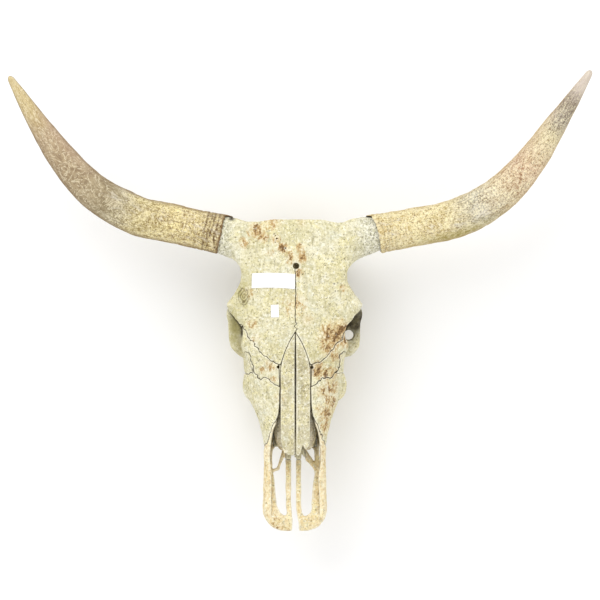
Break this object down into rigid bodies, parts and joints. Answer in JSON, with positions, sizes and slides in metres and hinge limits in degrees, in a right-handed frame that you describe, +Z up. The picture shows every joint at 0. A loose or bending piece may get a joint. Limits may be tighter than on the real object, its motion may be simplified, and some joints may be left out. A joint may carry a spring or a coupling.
{
  "type": "longhorn steer skull",
  "caption": "Weathered longhorn steer skull with horn sheaths, lying on its molars and paracondylar processes, with two blank paper labels.",
  "frame": {"origin": "centre of the whole model's footprint box, on the floor", "axes": "+X to the right horn as seen from above with the muzzle nearest, +Y from the muzzle to the poll, +Z up out of the level forehead"},
  "size_m": [0.9687, 0.7655, 0.2096],
  "materials": {
    "bone": "dry weathered bone, matt, cream to olive grey with brown stains",
    "core_bone": "rough porous bone, matt, pale grey",
    "dark_bone": "thin spongy bone, matt, brown",
    "horn": "weathered keratin, low sheen, fibrous and ringed",
    "label_paper": "plain white paper, blank"
  },
  "bodies": {
    "root": {"frontal": "bone", "occiput": "bone", "skull_base": "bone", "vomer": "dark_bone", "label_large": "label_paper", "label_small": "label_paper", "nasal_left": "bone", "nasal_right": "bone", "lacrimal_left": "bone", "lacrimal_right": "bone", "zygomatic_left": "bone", "zygomatic_right": "bone", "maxilla_left": "bone", "maxilla_right": "bone", "premaxilla_left": "bone", "premaxilla_right": "bone", "temporal_left": "bone", "temporal_right": "bone", "turbinate_left": "dark_bone", "turbinate_right": "dark_bone", "horn_core_left": "core_bone", "horn_core_right": "core_bone", "horn_sheath_left": "horn", "horn_sheath_right": "horn"}
  },
  "joints": []
}
